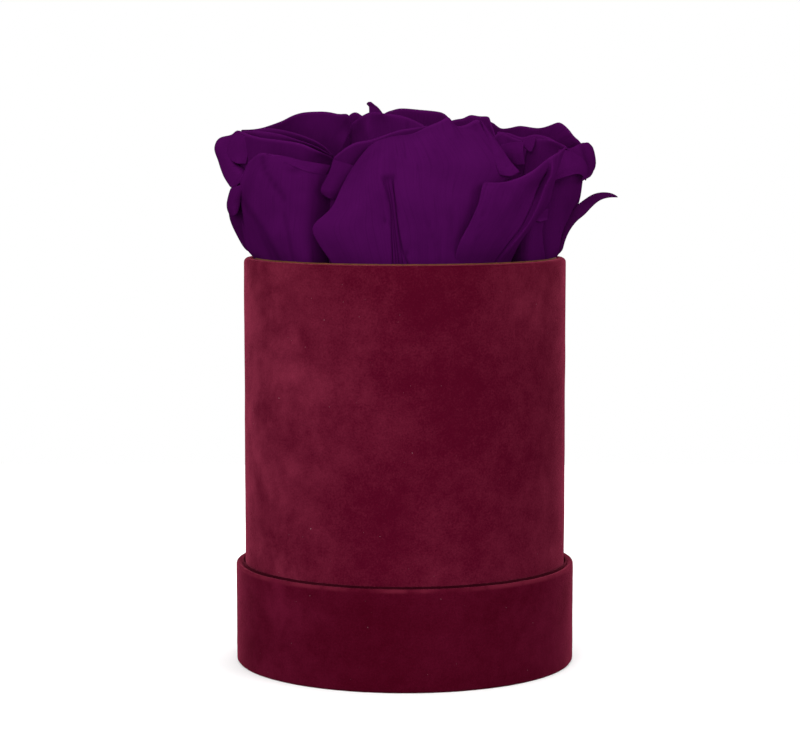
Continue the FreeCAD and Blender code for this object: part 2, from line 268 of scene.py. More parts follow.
def nap_and_sheen_group():
    """Brushed patches and pile of velvet, lighter towards its sides by a painted sheen, with a few specks of
    lint.
    """
    tree = bpy.data.node_groups.new("velvet_nap_and_sheen", "ShaderNodeTree")
    for name in ("Deep", "Lit", "Lint"):
        tree.interface.new_socket(name, in_out="INPUT", socket_type="NodeSocketColor")
    for name, kind in (("Colour", "NodeSocketColor"), ("Pile", "NodeSocketFloat")):
        tree.interface.new_socket(name, in_out="OUTPUT", socket_type=kind)
    given, result = tree.nodes.new("NodeGroupInput").outputs, tree.nodes.new("NodeGroupOutput")
    place = object_coordinates(tree)
    clouds = noise_texture(tree, place, Scale=58, Detail=7, Roughness=0.60, Distortion=0.15)
    broad = noise_texture(tree, place, Scale=21, Detail=1)
    mottle = noise_texture(tree, place, Scale=210, Detail=4, Roughness=0.6)
    pile = noise_texture(tree, place, Scale=1900, Detail=2, Roughness=0.7)
    specks = noise_texture(tree, place, Scale=1150, Detail=1)
    # Painted sheen: lighter towards the sides by the square of the distance from the middle, added to the
    # patches.
    across = add_node(tree, "SeparateXYZ", Vector=place)["X"]
    aside = calculate(tree, "DIVIDE", calculate(tree, "SUBTRACT", across, SIDE_SHEEN_MIDDLE), SIDE_SHEEN_REACH)
    side = calculate(tree, "MULTIPLY", aside, aside)
    wide = calculate(tree, "MULTIPLY_ADD", side, 0.58, map_range(tree, broad, 0.38, 0.72, 0.02, 0.30))
    patches = calculate(tree, "MULTIPLY", map_range(tree, clouds, 0.25, 0.78, 0.15, 1.0), wide)
    grain = calculate(tree, "MULTIPLY_ADD", calculate(tree, "SUBTRACT", pile, 0.5), 0.55, patches)
    share = calculate(tree, "MULTIPLY_ADD", calculate(tree, "SUBTRACT", mottle, 0.5), 0.35, grain)
    tone = mix_colours(tree, share, given["Deep"], given["Lit"])
    lint = map_range(tree, specks, 0.815, 0.835, 0, 0.5)
    feed(tree, result, Colour=mix_colours(tree, lint, tone, given["Lint"]),
         Pile=calculate(tree, "MULTIPLY_ADD", clouds, 1.5, pile))
    return tree


def velvet(name, deep, lit, edge=None):
    """The cloth in two tones. Along a turned edge, given by its radius and height in mm, a painted highlight
    lightens the cloth in patches near the top of the edge, and a painted shade darkens it inside the radius."""
    material, tree = new_material(name)
    group = tree.nodes.new("ShaderNodeGroup")
    group.node_tree = velvet_nap_and_sheen
    nap = feed(tree, group, Deep=deep, Lit=lit, Lint=LINT)
    colour = nap["Colour"]
    if edge:
        radius, height = (size * MM for size in edge)
        place = object_coordinates(tree)
        axes = add_node(tree, "SeparateXYZ", Vector=place)
        below = calculate(tree, "SUBTRACT", height, axes["Z"])
        # Painted highlight in patches along the top of the edge.
        patches = noise_texture(tree, place, Scale=75, Detail=3, Roughness=0.6)
        highlight_patches = map_range(tree, patches, 0.36, 0.60, 0.12, 1.0)
        crest_highlight = calculate(tree, "MULTIPLY", map_range(tree, below, CREST_HIGHLIGHT_FROM, CREST_HIGHLIGHT_TO, 0.66, 0.0), highlight_patches)
        colour = mix_colours(tree, crest_highlight, colour, PAINTED_CREST_HIGHLIGHT)
        squares = [calculate(tree, "MULTIPLY", axes[axis], axes[axis]) for axis in "XY"]
        out = calculate(tree, "SQRT", calculate(tree, "ADD", *squares))
        # Painted shade: all the cloth inside the radius, in the gap and inside the lid, is painted dark.
        gap_shade = map_range(tree, out, radius, radius + GAP_SHADE_WIDE, 0.85, 0.0)
        colour = mix_colours(tree, gap_shade, colour, PAINTED_GAP_SHADE)
    paint(tree, Base_Color=colour, Roughness=0.95, Specular_IOR_Level=0.0, Sheen_Weight=0.32,
          Sheen_Roughness=0.28, Sheen_Tint=VELVET_SHEEN, Normal=bump(tree, nap["Pile"], 0.40, 0.0004))
    return material


def turned_cloth(name, outline, rounded, steps=192):
    """Cloth glued around a round wall: a closed (radius, height) outline in mm, with rounded corners,
    spun around the axis, and moved by a fraction of a millimetre where the cloth lies unevenly."""
    bm = bmesh.new()
    ring = [bm.verts.new((r * MM, 0, z * MM)) for r, z in outline]
    for first, second in zip(ring, ring[1:] + ring[:1]):
        bm.edges.new((first, second))
    for corner, radius in rounded.items():
        bmesh.ops.bevel(bm, geom=[ring[corner]], offset=radius * MM, segments=5, profile=0.5,
                        affect="VERTICES", material=-1)
    bmesh.ops.subdivide_edges(bm, edges=[e for e in bm.edges if e.calc_length() > LONG_EDGE * MM], cuts=24)
    bmesh.ops.spin(bm, geom=bm.verts[:] + bm.edges[:], axis=(0, 0, 1), cent=(0, 0, 0), angle=tau,
                   steps=steps, use_merge=True)
    bmesh.ops.remove_doubles(bm, verts=bm.verts[:], dist=0.002 * MM)
    bmesh.ops.recalc_face_normals(bm, faces=bm.faces[:])
    for vert in bm.verts:
        wave = sum(noise.noise(vert.co * fine) * height for fine, height in UNEVEN_OUT)
        vert.co += Vector((vert.co.x, vert.co.y, 0)).normalized() * (wave * MM)
        fine, height = UNEVEN_UP
        vert.co.z += noise.noise(Vector((vert.co.x, vert.co.y, 0)) * fine) * height * MM
    return mesh_object(name, bm)


def glue(cloth, material, node, body):
    """Gives cloth its material, hides the node of the frame that it stands for and hangs it on a body."""
    cloth.data.materials.append(material)
    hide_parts(node)
    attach(cloth, body)


def box_size(node):
    """The radius of a round node of the frame and the heights of its foot and top, in mm."""
    low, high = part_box(node)
    return high[0] / MM, low[2] / MM, high[2] / MM


velvet_nap_and_sheen = nap_and_sheen_group()
lid_outer, lid_low, lid_high = box_size("lid_velvet_strip")
lid_board = box_size("lid_wall")[0]
lid_inner = box_size("lid_panel")[0]
shade_fringe_outer = lid_inner - SHADE_FRINGE_IN
lid_velvet = velvet("lid_velvet", LID_DEEP, LID_LIT, edge=(shade_fringe_outer, lid_high))
lid_strip = turned_cloth("lid_velvet_strip_cloth", [
    (lid_board, lid_low + LID_LIFT), (lid_outer, lid_low + LID_LIFT), (lid_outer, lid_high),
    (lid_outer - LID_CREST, lid_high), (lid_inner - GROOVE_IN, lid_high - GROOVE_DEEP),
    (shade_fringe_outer, lid_high + SHADE_FRINGE_HIGH), (shade_fringe_outer - SHADE_FRINGE_WIDE, lid_high + SHADE_FRINGE_HIGH),
    (lid_inner - LID_CLOTH, lid_high - LID_TURN_IN), (lid_inner - PLAY, lid_high - LID_TURN_IN),
    (lid_inner - PLAY, lid_high - LID_CLOTH), (lid_board + PLAY, lid_high - LID_CLOTH)],
    rounded={1: LID_FOOT_ROUND, 2: LID_ROUND, 3: LID_CREST_ROUND, 5: SHADE_FRINGE_ROUND, 6: SHADE_FRINGE_ROUND})
glue(lid_strip, lid_velvet, "lid_velvet_strip", "lid")
dress(lid_velvet, "lid_velvet_disc")


# Paper. A thin ochre paper lines the box and the lid and covers the underside of the box;
# the lining of the box stands a hair above the velvet and shows as a pale line around the rim.

OCHRE_DARK = (0.070, 0.0180, 0.0055)
OCHRE_PALE = (0.120, 0.0330, 0.0105)

ochre_paper = mottled("ochre_paper", dict(Scale=700, Detail=4, Roughness=0.6),
                      (0.3, 0.7, OCHRE_DARK, OCHRE_PALE), relief=(0.2, 0.0001), Roughness=0.8,
                      Specular_IOR_Level=0.2)
dress(ochre_paper, "lid_wall_lining", "lid_panel_lining", "box_base_paper", "box_lining")


# Velvet of the box. One length of cloth, glued around the tube, turned in over the rim behind the lining
# and turned under the foot.

BOX_ROUND = 1.2
FOOT_ROUND = 0.45
BOX_CLOTH = 0.5
RIM_TURN_IN = 8.0
FOOT_TURN_IN = 8.0

box_outer, box_low, box_high = box_size("box_velvet_cover")
tube_outer = box_size("box_tube")[0]
tube_inner = box_size("box_floor")[0]
lining_outer = box_size("box_lining")[0]
box_cloth = turned_cloth("box_velvet_cloth", [
    (box_outer - FOOT_TURN_IN, box_low), (box_outer, box_low), (box_outer, box_high),
    (lining_outer + PLAY, box_high), (lining_outer + PLAY, box_high - RIM_TURN_IN),
    (tube_inner - PLAY, box_high - RIM_TURN_IN), (tube_inner - PLAY, box_high - BOX_CLOTH + PLAY),
    (tube_outer + PLAY, box_high - BOX_CLOTH + PLAY), (tube_outer + PLAY, box_low + BOX_CLOTH - PLAY),
    (box_outer - FOOT_TURN_IN, box_low + BOX_CLOTH - PLAY)], rounded={1: FOOT_ROUND, 2: BOX_ROUND})
glue(box_cloth, velvet("box_velvet", VELVET_DEEP, VELVET_LIT), "box_velvet_cover", "box")


# Foam. A plug of dry green foam with a fine open grain, cut to slip into the lined tube;
# the stems and their wires are pushed into it.

FOAM_DARK = (0.045, 0.070, 0.035)
FOAM_PALE = (0.085, 0.115, 0.055)


def dry_foam():
    material, tree = new_material("dry_foam")
    place = object_coordinates(tree)
    cells = add_node(tree, "TexVoronoi", Vector=place, Scale=1400)["Distance"]
    stain = noise_texture(tree, place, Scale=60, Detail=3)
    paint(tree, Base_Color=ramp(tree, stain, 0.3, 0.7, FOAM_DARK, FOAM_PALE), Roughness=0.95,
          Normal=bump(tree, cells, 0.6, 0.0004))
    return material


dress(dry_foam(), "foam_block")


# Hips, stems and picks. Each rose keeps its green hip and a short stub of stem, bored for a steel wire
# that is pushed down into the foam. A rose has the room between two seams, given as directions from +X.

ROSES = {"front": (231, 336), "right": (336, 422), "back": (422, 502), "left": (502, 591)}
HIP_TONES = ((0.030, 0.034, 0.014), (0.085, 0.075, 0.030))
STEM_TONES = ((0.035, 0.032, 0.014), (0.080, 0.065, 0.030))
WIRE_TONES = ((0.30, 0.31, 0.30), (0.46, 0.46, 0.45))


def plant_skin(name, tones, scale):
    return mottled(name, dict(Scale=scale, Detail=4, Roughness=0.6, Distortion=0.5), (0.3, 0.72, *tones),
                   relief=(0.3, 0.0003), Roughness=0.8, Specular_IOR_Level=0.0)


hip_green = plant_skin("hip_green", HIP_TONES, 260)
stem_green = plant_skin("stem_green", STEM_TONES, 400)
pick_wire = mottled("pick_wire", dict(Scale=500, Detail=3), (0.3, 0.7, *WIRE_TONES), Roughness=0.35,
                    Metallic=1.0)
for rose in ROSES:
    dress(hip_green, f"rose_{rose}_hip")
    dress(stem_green, f"rose_{rose}_stem")
    dress(pick_wire, f"rose_{rose}_pick")


# Petals. Soft preserved petals of deep purple, thin and matt, with fine veins from root to lip. Those in
# sight are drawn as smooth lines from the root to the lip, by picture points with a depth in mm; the others
# follow each other around the heart in a spiral. All grow from the cone on the hip.

PETAL_DARK = (0.0342, 0.00160, 0.0374)
PETAL_LIT = (0.0434, 0.00215, 0.0472)
# Painted highlight along the lip of each petal, where its thin edge catches the light.
PETAL_LIP_HIGHLIGHT = (0.0495, 0.00280, 0.0538)
# Painted shade in the creases and folds of petals, and over petals that lie in shade.
PETAL_CREASE_SHADE = (0.0130, 0.00055, 0.0143)
PETAL_THICK = 0.35
HIP_RADIUS = 9.5
CONE_HEIGHT = 6.0
CONE_TIP = 2.0
ROOT_DEPTH = 0.3
ROOT_LEAST = 3.0
ROOT_MOST = HIP_RADIUS - 0.6
ROOT_SHARE = 0.24
ROOT_TURN = 0.7
BOWL_SHARE = 0.82
BOWL_TURN = 0.9
BOWL_RISE = 0.33
SPREAD = 29.0
ROOT_GROWTH = (CONE_TIP + 0.5, HIP_RADIUS - 0.5)
STEP_GROWTH = (3.0, 16.0)
BELLY_GROWTH = (5.0, SPREAD - 1)
LIP_GROWTH = (4.0, SPREAD)
LIP_START = 0.70
VEINS = Vector((16, 1.3, 5.7))
WAVES = Vector((3.3, 3.0, 2.9))
SEAM_X = 2.0
SEAM_GAP = 0.5
WALL_GAP = 2.6
OVERHANG = 15.5
OVERHANG_RISE = 30.0
RIM = box_high
RIM_CLEARANCE = 0.6
RIM_SLOPE = 2.5
LINING_THICK = 0.2
LINING_INNER = lining_outer - LINING_THICK
LINING_GAP = 0.7
GATHERED = 0.10
GOLDEN_ANGLE = 137.5
TOP_STEP = 0.7
ROLL_STEP = 6
SMOOTH_GRID = (28, 28)
CREASED_GRID = (64, 36)
PLEATED_GRID = (110, 44)
FLAP_GRID = (18, 20)
GROWN_GRID = (24, 24)
PICTURE = (800, 735)
FOCAL = CAMERA_LENS / SENSOR * PICTURE[0]
VIEW = Matrix.Rotation(radians(90 - CAMERA_TILT), 3, "X")
EYE = Vector(CAMERA_PLACE) / MM
CENTRE = {}
for rose in ROSES:
    low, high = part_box(f"rose_{rose}_hip")
    CENTRE[rose] = Vector(((low[0] + high[0]) / 2 / MM, (low[1] + high[1]) / 2 / MM, 0))
SHOULDER = high[2] / MM - CONE_HEIGHT


def sight(across, down, depth):
    """The point in mm, at a depth along Y, which the camera sees at a point of the picture."""
    ray = VIEW @ Vector((across - PICTURE[0] / 2, PICTURE[1] / 2 - down, -FOCAL))
    return EYE + ray * ((depth - EYE.y) / ray.y)


def picture_point(place):
    """The point of the picture where the camera sees a point in mm."""
    away = VIEW.transposed() @ (place - EYE)
    return Vector((PICTURE[0] / 2 - FOCAL * away.x / away.z, PICTURE[1] / 2 + FOCAL * away.y / away.z))


def line_distance(point, line):
    """How far a point of the picture lies from a line of straight stretches."""
    nearest = []
    for first, second in zip(line, line[1:]):
        share = intersect_point_line(point, first, second)[1]
        nearest.append((point - first.lerp(second, min(max(share, 0.0), 1.0))).length)
    return min(nearest)


def smooth_line(points, share):
    """A point of a smooth line through given points, at a share of its length."""
    steps = [0.0]
    for first, second in zip(points, points[1:]):
        steps.append(steps[-1] + max((second - first).length, 1e-6))
    where = share * steps[-1]
    i = min(max(bisect.bisect_right(steps, where) - 1, 0), len(points) - 2)
    slopes = []
    for k in (i, i + 1):
        low, high = max(k - 1, 0), min(k + 1, len(points) - 1)
        slopes.append((points[high] - points[low]) / (steps[high] - steps[low]))
    gap = steps[i + 1] - steps[i]
    t = (where - steps[i]) / gap
    return (points[i] * ((1 + 2 * t) * (1 - t) ** 2) + slopes[0] * (gap * t * (1 - t) ** 2)
            + points[i + 1] * (t * t * (3 - 2 * t)) + slopes[1] * (gap * t * t * (t - 1)))


def around(rose, heading, r, z):
    """The point in mm at a distance from the axis of a rose and a height over its shoulder."""
    return CENTRE[rose] + Vector((r * cos(heading), r * sin(heading), SHOULDER + z))


def cone_rise(r):
    """How high the cone on a hip stands over the shoulder, at a distance from its axis."""
    return CONE_HEIGHT * (HIP_RADIUS - r) / (HIP_RADIUS - CONE_TIP)


def root_rows(rose, lowest):
    """Two rows below the lowest line of a petal: its root on the cone and its bowl above the foam."""
    ends = [smooth_line(lowest, share) - CENTRE[rose] for share in (0, 0.25, 0.5, 0.75, 1)]
    middle = atan2(ends[2].y, ends[2].x)
    root, bowl = [], []
    for end in ends:
        turn = (atan2(end.y, end.x) - middle + pi) % tau - pi
        reach = hypot(end.x, end.y)
        root_r = min(ROOT_MOST, ROOT_LEAST + ROOT_SHARE * reach)
        root_z = cone_rise(root_r) - ROOT_DEPTH
        bowl_z = root_z + BOWL_RISE * (end.z - SHOULDER - root_z)
        root.append(around(rose, middle + ROOT_TURN * turn, root_r, root_z))
        bowl.append(around(rose, middle + BOWL_TURN * turn, BOWL_SHARE * reach, bowl_z))
    return [root, bowl]


def clear_of_rim(point):
    """A point moved in towards the axis where it would go into the rim of the box."""
    free = LINING_INNER - LINING_GAP + RIM_SLOPE * max(point.z - RIM - RIM_CLEARANCE, 0.0)
    away = hypot(point.x, point.y)
    if away > free:
        point.x, point.y = point.x * free / away, point.y * free / away
    return point


def crossing(row, guide):
    """The share of a row at which the camera sees it cross a line down the picture."""
    def miss(share):
        seen = picture_point(smooth_line(row, share))
        return abs(seen.x - np.interp(seen.y, [point.y for point in guide], [point.x for point in guide]))
    return min((step / 100 for step in range(101)), key=miss)


def gather(column, middle):
    """The place across a petal of a column of its grid, with six columns in ten close to its middle."""
    low, high = middle - GATHERED, middle + GATHERED
    return float(np.interp(column, (0.0, 0.2, 0.8, 1.0), (0.0, low, high, 1.0)))


def drawn_petal(rose, lines, seed, grid=SMOOTH_GRID, rooted=True, ruffle=0.35, folds=(), guided=False,
                shade=0.0):
    """A petal drawn by lines of picture points from root to lip, as a rule and a grid. Folds are lines of the
    picture, with a width there and a depth in mm; the columns of a guided petal gather along the first."""
    rows = [[sight(*point) for point in line] for line in lines]
    folds = [([Vector(point) for point in line], width, depth) for line, width, depth in folds]
    middles = [crossing(row, folds[0][0]) for row in rows] if guided else []
    if rooted:
        rows = root_rows(rose, rows[0]) + rows
        middles = middles[:1] * 2 + middles
    columns = {}

    def point(across, along):
        across = round(across, 5)
        if across not in columns:
            shares = [gather(across, middle) for middle in middles] or [across] * len(rows)
            line = [smooth_line(row, share) for row, share in zip(rows, shares)]
            columns[across] = line, sum(shares) / len(rows)
        line, across = columns[across]
        place = smooth_line(line, along)
        out = place - CENTRE[rose]
        out = Vector((out.x, out.y, 0)).normalized()
        spot = Vector((across, along, seed))
        uneven = 0.45 * noise.noise(spot * VEINS) + 0.9 * noise.noise(spot * WAVES)
        place += out * (ruffle * uneven * min(1.0, along * 2))
        # A fold sinks the petal and darkens it with painted shade; the shade option paints the whole petal
        # darker.
        seen, crease_shade, sunk = picture_point(place), shade, 0.0
        for line, width, depth in folds:
            near = exp(-(line_distance(seen, line) / width) ** 2)
            sunk = max(sunk, depth * near)
            crease_shade = max(crease_shade, min(0.9 * depth, 0.9) * near)
        return clear_of_rim(place - out * sunk), (across, along), crease_shade
    return point, grid


def seam_reaches(rose, heading):
    """Free distances from the axis of a rose to the two seams that it shares with its neighbours."""
    x, y = CENTRE[rose].xy
    for angle, side in zip(ROSES[rose], (1, -1)):
        nx, ny = -side * sin(radians(angle)), side * cos(radians(angle))
        closing = -(nx * cos(heading) + ny * sin(heading))
        if closing > 1e-6:
            yield (nx * (x - SEAM_X) + ny * y - SEAM_GAP) / closing


def pressed(rose, heading, r, z):
    """A distance from the axis of a rose, as its neighbours and the box leave room for it. Above the rim
    a petal may reach further out than below it."""
    x, y = CENTRE[rose].xy
    seams = list(seam_reaches(rose, heading))
    along = x * cos(heading) + y * sin(heading)
    rise = min(max((z - RIM) / OVERHANG_RISE, 0.0), 1.0)
    room = LINING_INNER - WALL_GAP + OVERHANG * rise * rise * (3 - 2 * rise)
    wall = -along + sqrt(along * along - x * x - y * y + room ** 2)
    reach = sum(d ** -4 for d in seams + [wall]) ** -0.25
    r *= 1 + (reach / SPREAD - 1) * sqrt(min(r / SPREAD, 1.0))
    if seams:
        limit = sum(d ** -8 for d in seams) ** -0.125
        r *= (1 + (r / limit) ** 8) ** -0.125
    return r


def grown_petal(rose, seed, heading, rank, half, top, roll, curl=3.0, drop=13.0, ruffle=0.5):
    """A petal of the spiral, by a rule and a grid: a cup with a rounded outline and a rolled lip."""
    root_r, step, belly_r, lip_r = (first + (last - first) * rank for first, last in
                                    (ROOT_GROWTH, STEP_GROWTH, BELLY_GROWTH, LIP_GROWTH))
    root_z = cone_rise(root_r)

    def point(across, along):
        flat = (across, along)
        across = 2 * across - 1
        rounded = sqrt(max(1 - across ** 4, 0.0))
        turn = radians(roll) * (0.35 + 0.65 * rounded)
        edge_z = top - drop * abs(across) ** 2.4 - curl * sin(min(turn, pi / 2))
        control = [(root_r, root_z - ROOT_DEPTH), (root_r + 0.9 * step, root_z + 0.45 * step),
                   (belly_r, 0.42 * edge_z), (lip_r, edge_z)]
        s = min(along / LIP_START, 1.0)
        weights = [(1 - s) ** 3, 3 * s * (1 - s) ** 2, 3 * s * s * (1 - s), s ** 3]
        r = sum(w * p[0] for w, p in zip(weights, control))
        z = sum(w * p[1] for w, p in zip(weights, control))
        wide = 0.42 + 0.58 * sin(pi / 2 * min(1.0, along / 0.65))
        angle = radians(heading + half * wide * across)
        wave = noise.noise(Vector((across * 1.7 + seed * 7.3, along * 1.9, seed * 3.1)))
        fine = noise.noise(Vector((across * 6.0 - seed * 2.7, along * 2.2, seed * 1.3)))
        r += (ruffle * 2.2 * wave + ruffle * 0.8 * fine) * along ** 1.5
        z += ruffle * 1.2 * fine * along ** 3
        r = pressed(rose, angle, max(r, 0.5), SHOULDER + z)
        if along > LIP_START:
            lean = atan2(control[3][1] - control[2][1], control[3][0] - control[2][0])
            bend = turn * (along - LIP_START) / (1 - LIP_START)
            r += curl * (sin(lean) - sin(lean - bend))
            z += curl * (cos(lean - bend) - cos(lean))
        return clear_of_rim(around(rose, angle, r, z)), flat, 0.0
    return point, GROWN_GRID


def petal_skin():
    """Purple with fine veins and strands along the petal, painted shade in its creases and folds and where it
    lies in shade, and a painted highlight along its lip.
    """
    material, tree = new_material("petal")
    flat = add_node(tree, "UVMap")["UV"]
    long_veins = add_node(tree, "Mapping", Vector=flat, Scale=(42, 1.6, 1))["Vector"]
    veins = noise_texture(tree, long_veins, Scale=1.0, Detail=3, Roughness=0.6, Distortion=0.1)
    mottle = noise_texture(tree, object_coordinates(tree), Scale=90, Detail=3, Roughness=0.55)
    blend = calculate(tree, "MULTIPLY_ADD", veins, 0.45, mottle)
    body = ramp(tree, blend, 0.45, 0.95, PETAL_DARK, PETAL_LIT)
    long_fan = add_node(tree, "Mapping", Vector=flat, Scale=(13, 0.45, 1))["Vector"]
    fan = calculate(tree, "MULTIPLY", noise_texture(tree, long_fan, Scale=1.0, Detail=1), 9.0)
    strands = map_range(tree, calculate(tree, "PINGPONG", fan, 0.5), 0.0, 0.10, 0.20, 0.0)
    # Painted shade from the creases and folds, and from petals that lie in shade, kept per vertex.
    crease_shade = tree.nodes.new("ShaderNodeAttribute")
    crease_shade.attribute_name = "crease_shade"
    dark = calculate(tree, "MAXIMUM", strands, crease_shade.outputs["Fac"])
    body = mix_colours(tree, dark, body, PETAL_CREASE_SHADE)
    # Painted highlight along the lip.
    lip = map_range(tree, add_node(tree, "SeparateXYZ", Vector=flat)["Y"], 0.975, 1.0)
    paint(tree, Base_Color=mix_colours(tree, lip, body, PETAL_LIP_HIGHLIGHT), Roughness=0.75, Specular_IOR_Level=0.0,
          Normal=bump(tree, blend, 0.20, 0.0004))
    return material


petal_purple = petal_skin()


def soft_piece(rose, name, node, sheets, material=petal_purple, thick=PETAL_THICK):
    """Thin sheets as one piece with soft edges, which stands for a node of a rose. The rule of each sheet
    gives a point in mm, its place on the flat sheet and how much painted shade darkens it there."""
    bm = bmesh.new()
    uv = bm.loops.layers.uv.new("UVMap")
    crease_shade = bm.verts.layers.float.new("crease_shade")
    for rule, (columns, rows) in sheets:
        sheet = bmesh.ops.create_grid(bm, x_segments=columns, y_segments=rows, size=1)
        for vert in sheet["verts"]:
            place, flat, vert[crease_shade] = rule((vert.co.x + 1) / 2, (vert.co.y + 1) / 2)
            vert.co = place * MM
            for loop in vert.link_loops:
                loop[uv].uv = flat
    piece = mesh_object(f"rose_{rose}_{name}", bm)
    piece.data.materials.append(material)
    wall = piece.modifiers.new("thickness", "SOLIDIFY")
    wall.thickness = thick * MM
    wall.offset = 0
    soft = piece.modifiers.new("softness", "SUBSURF")
    soft.levels = soft.render_levels = 1
    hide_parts(f"rose_{rose}_{node}")
    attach(piece, f"rose_{rose}")


def spiral(rose, top, count, first_rank, last_rank, start, half, roll, curl=2.5):
    """Petals that follow each other around the heart by the golden angle, each lower and more open."""
    ranks = [first_rank + (last_rank - first_rank) * i / (count - 1) for i in range(count)]
    return [grown_petal(rose, i + count, start + GOLDEN_ANGLE * i, rank, half, top - TOP_STEP * i,
                        roll + ROLL_STEP * i, curl) for i, rank in enumerate(ranks)]


# The front rose: a broad outer petal with a pleat, whose right edge is folded out, one behind it on the left
# with a flap, and a lifted one on the right with a narrow folded border.

FRONT_MAIN = [
    [(333, 264, -39.8), (360, 265, -43.5), (393, 266, -45.5), (425, 266, -45.5), (455, 266, -43.2),
     (485, 265, -38.3)],
    [(317, 241, -41.4), (350, 241, -45.8), (393, 241, -47.4), (430, 241, -47.4), (458, 241, -45.4),
     (488, 238, -40.5)],
    [(312, 227, -42), (345, 226, -46.7), (392, 226, -48.2), (432, 225, -48.2), (462, 225, -46.4),
     (492, 222, -41.5)],
    [(331, 208, -42.5), (355, 207, -47.4), (393, 206, -49), (434, 205, -49), (466, 205, -47),
     (496, 203, -43)],
    [(341, 188, -40.5), (364, 188, -46.6), (395, 187, -48.8), (436, 186, -48.9), (470, 186, -46.9),
     (503, 186, -43)],
    [(351, 170, -38.3), (374, 168, -44.4), (402, 166, -47.2), (438, 165, -48), (472, 166, -46.6),
     (503, 168, -43.6), (515, 172, -42)],
    [(364, 152, -35.5), (384, 150, -41), (408, 148, -44), (438, 146, -45.2), (468, 147, -44.8),
     (492, 148, -42.8), (501, 147, -41)],
    [(373, 142.5, -33), (392, 138, -38), (412, 137, -41), (438, 133, -42.3), (464, 134, -42.2),
     (482, 132, -41), (489, 131, -39.5)],
    [(374, 142, -32), (396, 136, -36), (412, 134, -38.5), (428, 126, -39.5), (442, 120, -40),
     (448, 116, -39.5), (455, 126, -39.5), (466, 124.5, -39.5), (476, 119, -39), (480, 120, -38.5)],
]
FRONT_FLAP = [
    [(480, 120, -39), (489, 131, -40), (500, 146, -41.4), (511, 162, -42.6), (520, 172, -43.2)],
    [(481, 121, -39.6), (488, 132.5, -41.0), (497, 148, -42.8), (505, 166, -44.3), (511, 176.5, -45)],
    [(481, 122, -39.8), (486, 134, -40.8), (491.5, 150, -43.0), (496, 166, -44.5), (500, 175.5, -44.3)],
]
FRONT_BEHIND = [
    [(330, 262, -35), (343, 263, -38), (356, 263, -40)],
    [(330, 235, -37), (343, 235, -39.5), (356, 235, -41.5)],
    [(330, 205, -36.5), (344, 200, -38), (358, 195, -39.5)],
    [(333, 171, -34.5), (346, 167, -35.5), (358, 160, -34.5), (372, 150, -33), (398, 140, -34),
     (425, 130, -36)],
    [(333, 162, -34), (346, 156, -35.5), (358, 150, -35.2), (373, 144, -34.5), (399, 135, -35),
     (425, 128, -36.5)],
    [(334, 157, -32.8), (345, 148, -33.8), (356, 142, -33.6), (372, 139, -33), (398, 130, -33.5),
     (418, 127, -34.5), (429, 125, -35)],
]
FRONT_BEHIND_FLAP = [
    [(333, 159, -33.8), (343, 162, -35.4), (352, 164.5, -35.9), (360, 166, -35.2)],
    [(329, 172, -37.4), (338, 174, -38.6), (347, 175.5, -37.9), (355, 177, -36.5)],
    [(320.5, 189, -39.3), (330, 190.5, -40.4), (339, 191, -39.3), (346, 192, -37.8)],
    [(322, 194, -38.8), (329.5, 198.5, -39.4), (336, 198.5, -38.9), (341, 198, -37.8)],
]
FRONT_RIGHT = [
    [(454, 264, -43.3), (470, 265, -41.5), (484, 265, -39), (494, 263, -36.8), (502, 263, -35),
     (510, 263, -31)],
    [(459, 243, -47.5), (474, 242, -46.7), (490, 242, -44.5), (511, 241, -40), (516, 241, -41),
     (521, 241, -35.5)],
    [(470, 222, -49), (485, 222, -48), (503, 222, -45.5), (525, 222, -40.8), (530, 222, -42),
     (535.5, 222, -37)],
    [(478, 203, -49.5), (494, 203, -48.9), (514, 203, -46.3), (534, 202, -40.6), (540, 202, -41.8),
     (548.5, 203, -36)],
    [(481, 188, -49), (500, 188, -48.5), (522, 187, -45.5), (540, 187, -38.6), (545, 187, -40.6),
     (552.5, 189, -34.5)],
    [(482, 185, -48.3), (503, 185, -48), (528, 178, -44.3), (548, 174, -37), (552, 173.5, -38.4),
     (557.5, 172, -33)],
    [(482.5, 182, -47), (505, 181.8, -47), (526, 174, -43.8), (550, 157, -36.5), (560, 151, -32.6),
     (566, 146.5, -28)],
]
# Lines of the pleat, sunk in and darkened by painted shade, which also darkens the broad band between them.
PLEATS = [
    ([(386.5, 179), (390.5, 196), (393, 216), (395, 236), (399, 268)], 1.0, 0.62),
    ([(381.5, 179.5), (385, 178), (390, 177), (394.5, 176)], 1.3, 0.65),
    ([(382, 180), (386, 192), (389.5, 204), (390.6, 216), (391, 234), (392.5, 268)], 1.1, 0.70),
    ([(391, 178), (394, 196), (396, 215), (399, 236), (402, 251), (409, 268)], 1.2, 0.72),
    ([(393, 180), (394.5, 205), (398, 236), (403, 268)], 0.9, 0.60),
    ([(387, 181), (391, 200), (393.5, 220), (396, 245), (400, 268)], 4.8, 0.36),
    ([(384.5, 181), (388.5, 196), (391.5, 214), (393.5, 240), (396, 268)], 0.8, 0.62),
    ([(384, 219.5), (387, 222), (390.5, 225)], 1.3, 0.45),
    ([(383, 196), (386, 197.5), (388.5, 200)], 1.3, 0.40),
    ([(397, 207), (395, 212)], 1.2, 0.40),
    ([(399, 247), (404, 252), (409, 254)], 1.3, 0.45),
    ([(428, 222), (431, 230), (434, 240), (440, 262)], 1.3, 0.22),
    ([(436, 150), (435.5, 180), (436, 208), (438, 235), (441, 262)], 1.3, 0.14),
    ([(451, 205), (452, 225), (451, 250)], 1.3, 0.18),
    ([(469, 126), (473, 123.5), (476, 126), (477.5, 131)], 2.2, 0.5),
]
